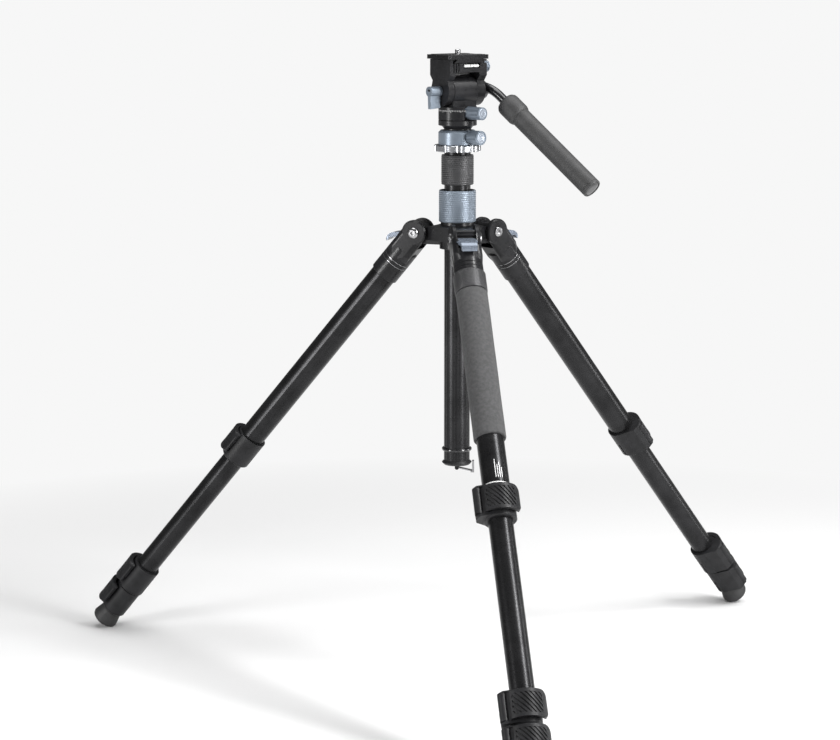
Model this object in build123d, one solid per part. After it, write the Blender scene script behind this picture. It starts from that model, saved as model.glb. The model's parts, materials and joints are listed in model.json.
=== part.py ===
from build123d import *

import math
import os

# Four-section camera tripod with a two-axis fluid head.
# Frame: origin on the floor under the centre column, +Z up, leg 1 towards -Y. Millimetres and degrees.
# Each leg is drawn hanging straight down from its hinge: hinge at the origin, leg along -Z,
# outward side -Y, hinge pin along X. The head is drawn facing +Y with its tilt axis along X.
# Heights of the column and head are measured from the plane of the three leg hinges.

# ---- Legs ----
LEG_COUNT = 3
LEG_SPREAD = 40.0           # leg axis from the vertical
HINGE_RADIUS = 44.7         # leg hinges from the column axis
EAR_RADIUS = 13.8
EAR_HALF_WIDTH = 15.3       # across both fork ears
SLOT_HALF_WIDTH = 10.2      # gap between the ears
SLOT_DEPTH = 12.6
COLLAR_RADIUS = 15.65
COLLAR_START = 22.0         # distances along a leg are from its hinge
COLLAR_END = 61.3
GRIP_LEG_COLLAR_END = 47.0
LEG_TUBE_RADII = (14.0, 12.4, 10.8, 9.2)
SLIDE_GAP = 0.1             # radial, between one leg tube and the next
TUBE_TOPS = (36.0, 252.0, 270.0, 280.0)
LAST_TUBE_END = 604.0
LOCK_TOPS = (309.5, 519.7, 555.4)
GRIP_LEG_SHORTER = 9.0      # leg 1's first tube, and its lock with it
FOOT_TOP = 591.0
FOOT_END = 610.3
FOOT_RADIUS = 14.8
FOOT_TOP_RADIUS = 12.0
FOOT_EDGE = 5.0
HINGE_BOLT_RADIUS = 4.0
BOLT_HEAD_RADIUS = 5.8
BOLT_HEAD_HEIGHT = 2.8
NUT_RADIUS = 5.2
NUT_HEIGHT = 1.2
LATCH_DROP = 7.5            # latch slide below the horizontal, on a spread leg
LATCH_ANGLE = 90 - LATCH_DROP - LEG_SPREAD   # the same slide from the leg axis, towards its outer side
LATCH_HALF_WIDTH = 9.8
LATCH_LIP_HALF_WIDTH = 8.4
LATCH_TOP = -2.7            # the latch's thickness, measured downwards from its slide line
LATCH_BOTTOM = 2.4
LATCH_TONGUE = 1.4          # how far its side tongues reach into the ears
STOP_ANGLES = (0.0, 20.0, 40.0)

# ---- Flip locks, measured down from each lock's top ----
LOCK_RADII = (16.8, 15.9, 14.6)
LOCK_LENGTH = 35.0
LOCK_TUBE_DEPTH = 24.0      # how far the tube above reaches into its lock
LEVER_DROP = 2.2
LEVER_LENGTH = 28.0
PIVOT_X = -21.5
PIVOT_Y = -7.0
PIVOT_HUB_RADIUS = 4.6
PIVOT_PIN_RADIUS = 1.5
LEVER_INNER = 17.6
LEVER_ARM = 21.0            # outer radius of the arm between hub and paddle
LEVER_OUTER = 22.4
LEVER_TIP_INNER = 19.2      # finger gap at the lower end
LEVER_TIP_LENGTH = 8.0
LEVER_PADDLE_LEFT = -16.3
LEVER_WINDOW = (29.0, 21.0, 3.5)   # width, height, corner radius
RIB_PITCH = 4.6
RIB_SLOPE = -40.0
RUN = 0.06                  # radial running clearance of pins and spindles

# ---- Grip on leg 1 ----
GRIP_RING_TOP = 47.3
GRIP_RING_END = 69.6
GRIP_RING_RADIUS = 17.2
GRIP_END = 243.0
GRIP_RADIUS = 16.7

# ---- Spider and column ----
SPIDER_TOP = 9.3
ARM_TOP = 5.5
ARM_BOTTOM = -7.5
SPIDER_BOTTOM = -16.0
HUB_RADIUS = 24.0
LOWER_BOSS_RADIUS = 19.0
LUG_RADIUS = 12.0
LUG_TOP = 9.0
LUG_HALF_WIDTH = 9.9
ARM_NARROWS_AT = 31.0
COLUMN_RADIUS = 14.0
COLUMN_BORE_RADIUS = 14.08
COLUMN_WALL = 1.6
COLUMN_BOTTOM = -246.2
FLUTE_RADIUS = 5.0
FLUTE_DEPTH = 0.6
NECK_RADIUS = 17.8
NECK_TOP = 41.9
LOCK_COLLAR = (12.7, 46.6, 19.9)      # bottom, top, radius
SLEEVE = (52.5, 84.5, 17.4)
LOCK_RING = (87.6, 94.9, 24.85)
LOCK_RING_SEAT = 12.5
COUPLER = (95.1, 110.4, 20.4)
CAP_BOTTOM = -251.2
CAP_RADIUS = 16.0
HOOK_AZIMUTH = -9.5
HOOK_PIVOT_Z = -254.8
HOOK_DROP = 12.5            # arm below the horizontal
HOOK_ARM_RADIUS = 1.25
HOOK_TONGUE = (16.6, 18.8)  # from the column axis

# ---- Head ----
HEAD_AZIMUTH = 26.5         # anticlockwise from +Y
PAN_BASE = (115.2, 121.0, 20.4)
PAN_BLOCK = (121.3, 135.0, 20.4)
PAN_BLOCK_FLATS = 19.5
SPINDLE_RADIUS = 8.0
TILT_Z = 151.8
DRUM_RADIUS = 16.4
CHEEK_RADIUS = 16.2
DRUM_HALF_LENGTH = 15.0
TILT_SHAFT_RADIUS = 5.0
CHEEK_INNER = 15.4
CHEEK_LEFT = -23.0
CHEEK_RIGHT = 25.0
PLATFORM = (171.5, 185.1)
PLATFORM_HALF_DEPTH = 18.1
LEVEL_RECESS = (5.0, 178.5)           # across, height of the recess for the level
PLATE = (185.5, 189.9)
PLATE_HALF_WIDTH = 26.0
PLATE_HALF_DEPTH = 21.0
DOVETAIL_BOTTOM = 181.7
DOVETAIL_HALF_WIDTH = 19.0
CAMERA_SCREW_RADIUS = 3.175
CAMERA_SHANK_RADIUS = 2.6   # undercut that keeps the screw in its slot
SCREW_HEAD = (182.3, 186.7, 6.8)
SCREW_RECESS_TOP = 187.1
JAW_GAP = 0.42              # level gap between the dovetail and the jaws
CAMERA_SCREW_TOP = 195.3
CLAMP_KNOB_Y = -5.0
CLAMP_KNOB_Z = 176.9
CLAMP_KNOB_RADIUS = 6.0
PAN_KNOB_AZIMUTH = 7.8      # from straight back towards the right, in the head's frame
PAN_KNOB_Z = 129.0
COUPLER_KNOB_AZIMUTH = 32.7  # from -Y, in the tripod's frame
COUPLER_KNOB_Z = 103.5
HANDLE_PLANE_X = 30.4
HANDLE_SPLAY = 16.4
HANDLE_DROP = 37.4
HANDLE_ROD_RADIUS = 5.0
HANDLE_LIFT = 4.15          # rod above the tilt axis where it leaves its hub
HANDLE_BEND_AT = 12.1
HANDLE_BEND_RADIUS = 50.0
HANDLE_HUB_RADIUS = 9.5
HANDLE_COLLAR_AT = 26.0     # along the sloping rod, from the bend's corner
HANDLE_COLLAR_LENGTH = 25.0
HANDLE_GRIP_END = 168.0
HANDLE_COLLAR_RADIUS = 12.75
HANDLE_GRIP_RADIUS = 10.75

HINGE_Z = (
    (FOOT_END - FOOT_EDGE) * math.cos(math.radians(LEG_SPREAD))
    + (FOOT_RADIUS - FOOT_EDGE) * math.sin(math.radians(LEG_SPREAD))
    + FOOT_EDGE
)
TOP = (Align.CENTER, Align.CENTER, Align.MAX)
BOTTOM = (Align.CENTER, Align.CENTER, Align.MIN)


# ---- Shapes used again and again ----
def rod(radius, low, high):
    """A solid cylinder along Z between two heights."""
    return Pos(0, 0, low) * Cylinder(radius, high - low, align=BOTTOM)


def ring(radius, bore, low, high):
    """A tube along Z between two heights."""
    return rod(radius, low, high) - rod(bore, low - 1, high + 1)


def block(x0, x1, y0, y1, z0, z1):
    """A box from its six limits."""
    return Pos(x0, y0, z0) * Box(x1 - x0, y1 - y0, z1 - z0, align=(Align.MIN,) * 3)


def rod_x(radius, x0, x1, y=0.0, z=0.0):
    """A solid cylinder along X between two stations."""
    return Pos(x0, y, z) * Rot(0, 90, 0) * Cylinder(radius, x1 - x0, align=BOTTOM)


def turned(points):
    """A solid of revolution about Z from (radius, height) points."""
    outline = make_face(Plane.XZ * Polyline(*points, close=True))
    return revolve(outline, Axis.Z)


def chamfered_rod(radius, low, high, cut):
    """A cylinder along Z with both ends chamfered."""
    return turned(
        [(0, low), (radius - cut, low), (radius, low + cut),
         (radius, high - cut), (radius - cut, high), (0, high)]
    )


def hex_socket(across, depth, top):
    """The cutter of a hexagon socket that opens upwards at a height."""
    return Pos(0, 0, top - depth) * extrude(RegularPolygon(across / math.sqrt(3), 6), depth + 1)


def group(*solids):
    """Several solids of one node."""
    return Compound(children=[solid for shape in solids for solid in shape.solids()])


def leg_azimuth(number):
    return -360.0 / LEG_COUNT * (number - 1)


def place_leg(number, shape):
    """Moves a piece drawn on a hanging leg to its place on a spread leg."""
    hinge = Rot(0, 0, leg_azimuth(number)) * Pos(0, -HINGE_RADIUS, HINGE_Z)
    return hinge * Rot(-LEG_SPREAD, 0, 0) * shape


def place_column(shape):
    return Pos(0, 0, HINGE_Z) * shape


def place_head(shape):
    return Pos(0, 0, HINGE_Z) * Rot(0, 0, HEAD_AZIMUTH) * shape


# ---- Leg pieces, drawn on a leg that hangs straight down ----
def latch_frame():
    """Places a shape drawn with its outward direction along -Z on the latch's slide line."""
    return Rot(-LATCH_ANGLE, 0, 0)


def shoulder(collar_end):
    """Fork on the hinge with round ears, and a grooved collar round the first tube."""
    body = Rot(0, 90, 0) * chamfered_rod(EAR_RADIUS, -EAR_HALF_WIDTH, EAR_HALF_WIDTH, 1.4)
    column = RectangleRounded(2 * EAR_HALF_WIDTH, 2 * EAR_RADIUS - 0.2, 6)
    body += Pos(0, 0, -36) * extrude(column, 36)
    body = body & turned([(0, -70), (COLLAR_RADIUS, -70), (COLLAR_RADIUS, -34), (19, -COLLAR_START - 1),
                          (24, -9), (24, 30), (0, 30)])
    body += turned([(0, -collar_end), (COLLAR_RADIUS - 0.4, -collar_end), (COLLAR_RADIUS, -collar_end + 0.4),
                    (COLLAR_RADIUS, -COLLAR_START - 1.5), (COLLAR_RADIUS - 1.5, -COLLAR_START), (0, -COLLAR_START)])
    for depth in (38.0, 42.5):
        body -= ring(COLLAR_RADIUS + 8, COLLAR_RADIUS - 0.5, -depth - 0.9, -depth)
    body -= block(-SLOT_HALF_WIDTH, SLOT_HALF_WIDTH, -30, 30, -SLOT_DEPTH, 30)
    above_collar = block(-20, 20, -40, 10, 1 - COLLAR_START, 40)
    pocket = block(-SLOT_HALF_WIDTH, SLOT_HALF_WIDTH, LATCH_TOP - 0.4, 20, -40, 0)
    body -= latch_frame() * pocket & above_collar
    reach = SLOT_HALF_WIDTH + LATCH_TONGUE
    body -= latch_frame() * block(-reach, reach, -1.4, 1.4, -40, -11)
    body -= rod_x(HINGE_BOLT_RADIUS + RUN, -20, 20)
    body -= rod_x(NUT_RADIUS + 0.3, -20, -EAR_HALF_WIDTH + 1.6)
    body -= rod(LEG_TUBE_RADII[0], -100, -TUBE_TOPS[0])
    return body


def latch():
    """Pull-out angle latch: a nose towards the stop notches, side tongues and a drooping finger tab."""
    nose = block(-LATCH_HALF_WIDTH, LATCH_HALF_WIDTH, LATCH_TOP, LATCH_BOTTOM, -22, -11)
    nose -= rod_x(LUG_RADIUS + 0.4, -20, 20)
    reach = LATCH_HALF_WIDTH + LATCH_TONGUE
    tongues = block(-reach, reach, -1.1, 1.1, -19, -13)
    tongues -= rod_x(LUG_RADIUS + 0.8, -20, 20)
    side = Polyline((LATCH_TOP, -16), (LATCH_TOP, -27), (-2.0, -30), (0, -33), (3.2, -35.2), (5.6, -35.0),
                    (4.6, -33.2), (LATCH_BOTTOM, -30.5), (LATCH_BOTTOM, -16), close=True)
    tab = Rot(0, 0, 90) * Rot(90, 0, 0) * extrude(make_face(side), LATCH_HALF_WIDTH, both=True)
    outline = Pos(0, -19) * RectangleRounded(2 * LATCH_LIP_HALF_WIDTH, 34, 3)
    tab &= Rot(90, 0, 0) * extrude(outline, 20, both=True)
    return latch_frame() * (nose + tongues + tab)


def leg_tube(index, end):
    outer = LEG_TUBE_RADII[index]
    last = index + 1 == len(LEG_TUBE_RADII)
    bore = outer - 1.4 if last else LEG_TUBE_RADII[index + 1] + SLIDE_GAP
    return ring(outer, bore, -end, -TUBE_TOPS[index])


def lock_top(number, index):
    """Distance of a lock's top from the hinge; leg 1's first tube is shorter."""
    return LOCK_TOPS[index] - (GRIP_LEG_SHORTER if number == 1 and index == 0 else 0)


def pivot_rod(radius, low, high):
    return Pos(PIVOT_X, PIVOT_Y, 0) * rod(radius, low, high)


def lock_outline(wall):
    """Cross-section of a lock: a round clamp with the lever's pivot boss on one side."""
    boss = Polyline((-2, -wall), (PIVOT_X, PIVOT_Y - 4.4), (PIVOT_X - 4.4, PIVOT_Y), (PIVOT_X - 2, 3.5),
                    (-wall + 4, 11), (0, 4), close=True)
    return Circle(wall) + make_face(boss)


def lock_body(index):
    """Clamp on the end of one tube that closes on the next one, with the lever's pin. Its top is at Z = 0."""
    wall = LOCK_RADII[index]
    end = -LOCK_LENGTH
    lever_top, lever_end = -LEVER_DROP, -LEVER_DROP - LEVER_LENGTH
    body = extrude(Pos(0, 0, end) * lock_outline(wall), LOCK_LENGTH)
    body &= turned([(0, end), (wall - 1.1, end), (wall + 0.4, end + 1.6), (24, end + 1.6), (28, end + 4),
                    (28, -2), (wall + 8, 0), (0, 0)])
    body -= pivot_rod(PIVOT_HUB_RADIUS + 0.4, lever_end - 0.4, lever_top + 0.4)
    around_wall = Circle(40) - Circle(LEVER_INNER - 0.3)
    clearance = Pos(0, 0, lever_end - 0.4) * extrude(around_wall, LEVER_LENGTH + 0.8)
    body -= clearance & block(PIVOT_X, 40, -40, PIVOT_Y + 3.4, lever_end - 1, 1 + lever_top)
    tube = LEG_TUBE_RADII[index]
    following = LEG_TUBE_RADII[index + 1] + SLIDE_GAP
    body -= rod(tube, -LOCK_TUBE_DEPTH, 1)
    body -= rod(following, end - 1, 0)
    lip = LOCK_LENGTH - LOCK_TUBE_DEPTH
    body -= block(-0.9, 0.9, 8, 30, end - 1, end + lip + 8) & ring(40, tube + 0.5, end - 1, 0)
    pin = pivot_rod(PIVOT_PIN_RADIUS, end + 3.5, -0.6)
    return group(body - pin, pin)


def lever():
    """Flip lever: a hub on the pin, an arm and a raised curved paddle with a ribbed pad. Its top is at Z = 0."""
    end, middle = -LEVER_LENGTH, -LEVER_LENGTH / 2
    wedge = make_face(Polyline((0, 0), (-60, -24), (-60, -60), (60, -60), (60, -26), close=True))
    arm = Circle(LEVER_ARM) - Circle(LEVER_INNER)
    paddle = Circle(LEVER_OUTER) - Circle(LEVER_INNER)
    paddle &= Pos(LEVER_PADDLE_LEFT, 0) * Rectangle(60, 60, align=(Align.MIN, Align.CENTER))
    hub = Pos(PIVOT_X, PIVOT_Y) * Circle(PIVOT_HUB_RADIUS)
    body = extrude(Pos(0, 0, end) * (((arm + paddle) & wedge) + hub), LEVER_LENGTH)
    outline = RectangleRounded(47, LEVER_LENGTH, 6)
    face = Pos(-3.4, 0, middle) * Rot(90, 0, 0) * extrude(outline, 40)
    body &= face + pivot_rod(PIVOT_HUB_RADIUS + 0.5, end, 0)
    finger_gap = rod(LEVER_TIP_INNER, end - 1, end + LEVER_TIP_LENGTH) & block(-14, 30, -30, 0, end - 1, 0)
    body -= finger_gap
    width, height, corner = LEVER_WINDOW
    window = Pos(0, 0, middle) * Rot(90, 0, 0) * extrude(RectangleRounded(width, height, corner), 40)
    body -= ring(LEVER_OUTER + 3, LEVER_OUTER - 1.0, end, 0) & window
    ribs = [
        Pos(RIB_PITCH * step, 0, middle) * Rot(0, RIB_SLOPE, 0) * Box(2.1, 60, 60)
        for step in range(-6, 7)
    ]
    land = ring(LEVER_OUTER - 0.15, LEVER_OUTER - 1.4, end, 0) & window
    body += land & Compound(children=ribs)
    return body - pivot_rod(PIVOT_PIN_RADIUS + RUN, end - 1, 1)


def foot():
    """Rubber foot that flares to a rounded sole, with the last leg tube in its socket."""
    profile = [(0, -FOOT_END), (FOOT_RADIUS - FOOT_EDGE, -FOOT_END)]
    steps = 6
    for step in range(1, steps):
        turn = math.radians(90 * step / steps)
        radius = FOOT_RADIUS - FOOT_EDGE * (1 - math.sin(turn))
        profile.append((radius, -FOOT_END + FOOT_EDGE * (1 - math.cos(turn))))
    profile += [(FOOT_RADIUS, -FOOT_END + FOOT_EDGE), (FOOT_RADIUS - 0.5, -FOOT_END + 7.5),
                (FOOT_TOP_RADIUS + 0.3, -FOOT_TOP - 3), (FOOT_TOP_RADIUS, -FOOT_TOP - 0.8),
                (FOOT_TOP_RADIUS - 0.6, -FOOT_TOP), (0, -FOOT_TOP)]
    rubber = turned(profile) - rod(LEG_TUBE_RADII[3], -LAST_TUBE_END, 0)
    return group(rubber, leg_tube(3, LAST_TUBE_END))


def grip_ring():
    """Threaded coupling ring that lets leg 1 come off as a monopod."""
    body = chamfered_rod(GRIP_RING_RADIUS, -GRIP_RING_END, -GRIP_RING_TOP, 0.8)
    return body - rod(LEG_TUBE_RADII[0] + RUN, -100, 0)


def foam_grip():
    body = chamfered_rod(GRIP_RADIUS, -GRIP_END, -GRIP_RING_END - 0.3, 1.2)
    return body - rod(LEG_TUBE_RADII[0], -300, 0)


# ---- Spider ----
def arm_outline():
    """Plan of the spider: a round hub with three arms that narrow towards their lugs."""
    outline = Circle(HUB_RADIUS)
    for number in range(LEG_COUNT):
        neck = Polyline((-LUG_HALF_WIDTH, -ARM_NARROWS_AT), (LUG_HALF_WIDTH, -ARM_NARROWS_AT))
        flank = make_hull(Circle(HUB_RADIUS).edges() + neck.edges())
        arm = Pos(0, -HINGE_RADIUS / 2) * Rectangle(2 * LUG_HALF_WIDTH, HINGE_RADIUS)
        outline += Rot(0, 0, 120 * number) * (flank + arm)
    return outline


def spider():
    """Three-armed casting with hinge lugs, a column bore and a slit neck under the lock collar."""
    body = extrude(Pos(0, 0, ARM_BOTTOM) * arm_outline(), SPIDER_TOP - ARM_BOTTOM)
    body &= turned([(0, -20), (60, -20), (60, ARM_TOP), (36, ARM_TOP), (22.5, SPIDER_TOP - 0.6),
                    (20.5, SPIDER_TOP), (0, SPIDER_TOP)])
    body += rod(LOWER_BOSS_RADIUS, SPIDER_BOTTOM, 0)
    for number in range(LEG_COUNT):
        lug = Pos(0, -HINGE_RADIUS, 0) * hinge_lug()
        web = block(-LUG_HALF_WIDTH, LUG_HALF_WIDTH, -HINGE_RADIUS, -12, -LUG_RADIUS + 0.1, 0)
        body += Rot(0, 0, 120 * number) * (lug + web)
    for number in range(LEG_COUNT):
        socket = Pos(0, -HINGE_RADIUS, 0) * (rod_x(HINGE_BOLT_RADIUS, -20, 20) + stop_notches())
        body -= Rot(0, 0, 120 * number) * socket
    body += ring(NECK_RADIUS, COLUMN_BORE_RADIUS, 0, NECK_TOP)
    body -= rod(COLUMN_BORE_RADIUS, SPIDER_BOTTOM - 1, NECK_TOP + 1)
    for angle in (0, 60, 120):
        body -= Rot(0, 0, angle) * block(-30, 30, -0.8, 0.8, NECK_TOP - 20, NECK_TOP + 1)
    return body


def hinge_lug():
    lug = rod_x(LUG_RADIUS, -LUG_HALF_WIDTH, LUG_HALF_WIDTH)
    return lug & block(-20, 20, -20, 20, -20, LUG_TOP)


def stop_notches():
    """Cutters of the angle stops, across the round outer end of a lug."""
    cutters = [
        Rot(LATCH_DROP - stop, 0, 0) * Pos(0, -LUG_RADIUS, 0) * Rot(45, 0, 0) * Box(40, 2.0, 2.0)
        for stop in STOP_ANGLES
    ]
    return Compound(children=cutters)


def hinge_bolt():
    """Shoulder bolt with a domed socket head on one side and a low nut on the other."""
    face = EAR_HALF_WIDTH + 0.2
    top = face + BOLT_HEAD_HEIGHT
    head = turned([(0, face), (BOLT_HEAD_RADIUS, face), (BOLT_HEAD_RADIUS, face + 0.9),
                   (BOLT_HEAD_RADIUS - 0.9, face + 1.9), (BOLT_HEAD_RADIUS - 2.6, top), (0, top)])
    back = -EAR_HALF_WIDTH - NUT_HEIGHT
    nut = chamfered_rod(NUT_RADIUS, back, 1.4 - EAR_HALF_WIDTH, 0.5)
    bolt = head + rod(HINGE_BOLT_RADIUS, -EAR_HALF_WIDTH, EAR_HALF_WIDTH + 1) + nut
    bolt -= hex_socket(4.0, 2.2, top)
    bolt -= Rot(180, 0, 0) * hex_socket(4.0, 1.6, -back)
    return Rot(0, 90, 0) * bolt


def hinge_bolts():
    bolts = [
        Rot(0, 0, leg_azimuth(number)) * Pos(0, -HINGE_RADIUS, 0) * hinge_bolt()
        for number in range(1, LEG_COUNT + 1)
    ]
    return group(*bolts)


# ---- Column ----
def lock_collar():
    low, high, radius = LOCK_COLLAR
    body = chamfered_rod(radius, low, high, 1.2)
    body -= rod(NECK_RADIUS + RUN, low - 1, NECK_TOP + 0.6)
    return body - rod(COLUMN_BORE_RADIUS, low, high + 1)


def centre_column():
    """Column tube with shallow flutes, a solid top plug and the seat of the lock ring."""
    top = SLEEVE[1]
    body = ring(COLUMN_RADIUS, COLUMN_RADIUS - COLUMN_WALL, COLUMN_BOTTOM, top)
    reach = COLUMN_RADIUS + FLUTE_RADIUS - FLUTE_DEPTH
    for number in range(6):
        flute = Pos(reach, 0, 0) * rod(FLUTE_RADIUS, COLUMN_BOTTOM, top - 60)
        body -= Rot(0, 0, 60 * number + 18) * flute
    plug = rod(COLUMN_RADIUS, top, LOCK_RING[0]) + rod(COLUMN_RADIUS - COLUMN_WALL, top - 12, top)
    return body + plug + rod(LOCK_RING_SEAT, LOCK_RING[0], COUPLER[0])


def end_cap():
    """Flanged plug at the foot of the column, with the hook's pivot boss."""
    body = chamfered_rod(CAP_RADIUS, CAP_BOTTOM, COLUMN_BOTTOM, 2.2)
    body += rod(COLUMN_RADIUS - COLUMN_WALL, COLUMN_BOTTOM - 0.5, COLUMN_BOTTOM + 14)
    lugs = block(-4.4, 4.4, -2.2, 2.2, HOOK_PIVOT_Z, CAP_BOTTOM + 1)
    lugs += rod_x(2.2, -4.4, 4.4, z=HOOK_PIVOT_Z)
    ears = Rot(0, 0, 90) * lugs - block(-3, 3, -1.9, 1.9, HOOK_PIVOT_Z - 5, CAP_BOTTOM)
    pin = Rot(0, 0, 90) * rod_x(0.9, -4.4, 4.4, z=HOOK_PIVOT_Z)
    return Rot(0, 0, HOOK_AZIMUTH) * (body + ears + pin)


def column_hook():
    """Folding hook: a sloping arm from the pivot under the cap and a flat tongue up the cap's side."""
    z = HOOK_PIVOT_Z
    inner, outer = HOOK_TONGUE
    foot_z = z - math.tan(math.radians(HOOK_DROP)) * inner
    eye = Rot(0, 0, 90) * rod_x(2.0, -1.6, 1.6, z=z)
    arm = Pos(0, 0, z) * Rot(0, 90 + HOOK_DROP, 0) * Cylinder(HOOK_ARM_RADIUS, inner + 1, align=BOTTOM)
    tongue = block(inner, outer, -2.5, 2.5, foot_z - 1.7, COLUMN_BOTTOM - 1)
    toe = block(inner - 1.6, outer, -2.5, 2.5, foot_z - 1.7, foot_z)
    body = eye + arm + tongue + toe - Rot(0, 0, 90) * rod_x(0.9 + RUN, -3, 3, z=z)
    return Rot(0, 0, HOOK_AZIMUTH) * body


def grip_sleeve():
    low, high, radius = SLEEVE
    return chamfered_rod(radius, low, high - 0.3, 0.7) - rod(COLUMN_RADIUS + RUN, low - 1, high + 1)


def lock_ring():
    """Scalloped ring that locks the coupler."""
    low, high, radius = LOCK_RING
    body = chamfered_rod(radius, low + 0.3, high - 0.1, 0.8)
    scallops = 10
    for number in range(scallops):
        cutter = Pos(radius + 3.2, 0, low) * Cylinder(5.0, 10, align=BOTTOM)
        body -= Rot(0, 0, 360 / scallops * number + 12) * cutter
    return body - rod(LOCK_RING_SEAT + RUN, low - 1, high + 1)


def coupler_ring():
    """Receiver of the head, with a chamfered rim, a dark neck above and a radial screw boss bore."""
    low, high, radius = COUPLER
    body = turned([(0, low), (radius, low), (radius, high - 2.4), (radius - 2.4, high), (0, high)])
    bore = Rot(0, 0, COUPLER_KNOB_AZIMUTH) * Pos(0, 0, COUPLER_KNOB_Z) * Rot(90, 0, 0)
    return body - bore * (Pos(0, 0, 9) * Cylinder(2.5 + RUN, 30, align=BOTTOM))


def lobed_knob(radius, stem_radius, stem_from, hub_from, hub_to, cap_radius):
    """A clamp knob along +Z: screw, six-lobed hub and a smooth end disc."""
    hub = Circle(radius)
    for number in range(6):
        hub -= Rot(0, 0, 60 * number) * Pos(radius + 3.6, 0) * Circle(4.4)
    body = rod(stem_radius, stem_from, hub_from) + extrude(Pos(0, 0, hub_from) * hub, hub_to - hub_from)
    body += rod(cap_radius, hub_to, hub_to + 1.6) - rod(cap_radius - 2.2, hub_to + 1.1, hub_to + 2)
    return body


def coupler_knob():
    knob = lobed_knob(7.5, 2.5, 9.5, 21.2, 35.2, 7.5)
    return Rot(0, 0, COUPLER_KNOB_AZIMUTH) * Pos(0, 0, COUPLER_KNOB_Z) * Rot(90, 0, 0) * knob


# ---- Head, drawn facing +Y ----
def pan_base():
    """Graduated base on a flared neck, with the pan spindle."""
    low, high, radius = PAN_BASE
    neck = turned([(0, COUPLER[1]), (14.5, COUPLER[1]), (14.5, low - 3.2), (17.5, low), (0, low)])
    return neck + chamfered_rod(radius, low, high, 0.5) + rod(SPINDLE_RADIUS, high - 1, PAN_BLOCK[1] - 2.5)


def knob_line(azimuth, z):
    """Places a shape drawn along +Z on a radial line, at an angle from -Y."""
    return Rot(0, 0, azimuth) * Pos(0, 0, z) * Rot(90, 0, 0)


def pan_housing():
    """Pan block with flats, a saddle and the fixed drum of the tilt axis."""
    low, high, radius = PAN_BLOCK
    body = rod(radius, low, high) & block(*(-PAN_BLOCK_FLATS, PAN_BLOCK_FLATS) * 2, low, high)
    body -= knob_line(PAN_KNOB_AZIMUTH, PAN_KNOB_Z) * block(-7.6, 7.6, -7.4, 7.4, 15.4, 30)
    body += block(-DRUM_HALF_LENGTH, DRUM_HALF_LENGTH, -13, 13, high - 2, TILT_Z)
    body += rod_x(DRUM_RADIUS, -DRUM_HALF_LENGTH, DRUM_HALF_LENGTH, z=TILT_Z)
    body -= rod(SPINDLE_RADIUS + RUN, low - 1, high - 2)
    body -= rod_x(TILT_SHAFT_RADIUS + RUN, -30, 30, z=TILT_Z)
    body -= knob_line(PAN_KNOB_AZIMUTH, PAN_KNOB_Z) * rod(2.5 + RUN, 9, 30)
    return body


def pan_knob():
    return knob_line(PAN_KNOB_AZIMUTH, PAN_KNOB_Z) * lobed_knob(6.75, 2.5, 9.5, 16.2, 36.2, 6.75)


def cheek(inner, outer):
    """One side plate: a disc round the tilt axis, a waist and a shoulder under the platform."""
    disc = rod_x(CHEEK_RADIUS, min(inner, outer), max(inner, outer), z=TILT_Z)
    top = PLATFORM[0] + 1
    outline = Polyline((-16.0, TILT_Z + 2), (-13.6, TILT_Z + 11), (-PLATFORM_HALF_DEPTH, TILT_Z + 16.5),
                       (-PLATFORM_HALF_DEPTH, top), (PLATFORM_HALF_DEPTH, top),
                       (PLATFORM_HALF_DEPTH, TILT_Z + 16.5), (13.6, TILT_Z + 11), (16.0, TILT_Z + 2), close=True)
    plate = Rot(0, 0, 90) * Rot(90, 0, 0) * extrude(make_face(outline), abs(outer - inner))
    return disc + Pos(min(inner, outer), 0, 0) * plate


def tilt_cradle():
    """Tilting platform: two cheeks, a clamp channel, the tilt shaft, a level recess and the rosette."""
    low, high = PLATFORM
    depth = PLATFORM_HALF_DEPTH
    body = cheek(-CHEEK_INNER, CHEEK_LEFT) + cheek(CHEEK_INNER, CHEEK_RIGHT)
    body += block(CHEEK_LEFT, CHEEK_RIGHT, -depth, depth, low, high)
    body -= block(-16.4, CHEEK_RIGHT + 1, -depth - 1, depth + 1, DOVETAIL_BOTTOM - 0.4, high + 1)
    floor = DOVETAIL_BOTTOM - 0.4
    reach = DOVETAIL_HALF_WIDTH + JAW_GAP + 0.4
    undercut = Polyline((-14, high + 1), (high + 1 - floor - reach, high + 1), (-reach, floor), (-14, floor),
                        close=True)
    body -= Pos(0, depth + 1, 0) * Rot(90, 0, 0) * extrude(make_face(undercut), 2 * depth + 2)
    body += rod_x(TILT_SHAFT_RADIUS, -CHEEK_INNER - 1, CHEEK_INNER + 1, z=TILT_Z)
    body += rod_x(8.0, CHEEK_RIGHT - 1, CHEEK_RIGHT + 1.6, z=TILT_Z)
    body -= rod_x(3.0 + RUN, 14, 40, z=TILT_Z)
    body -= rod_x(3.0 + RUN, -40, -14, z=TILT_Z)
    across, height = LEVEL_RECESS
    body -= Pos(across, -depth, height) * Rot(90, 0, 0) * extrude(RectangleRounded(23, 5.2, 2.5), 3.4, both=True)
    for number in range(3):
        body -= block(-19 + 3.2 * number, -17.4 + 3.2 * number, -depth - 1, -depth + 1.0, low, high + 1)
    body -= rod_x(2.5 + RUN, 16, 40, y=CLAMP_KNOB_Y, z=CLAMP_KNOB_Z)
    return body


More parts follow.
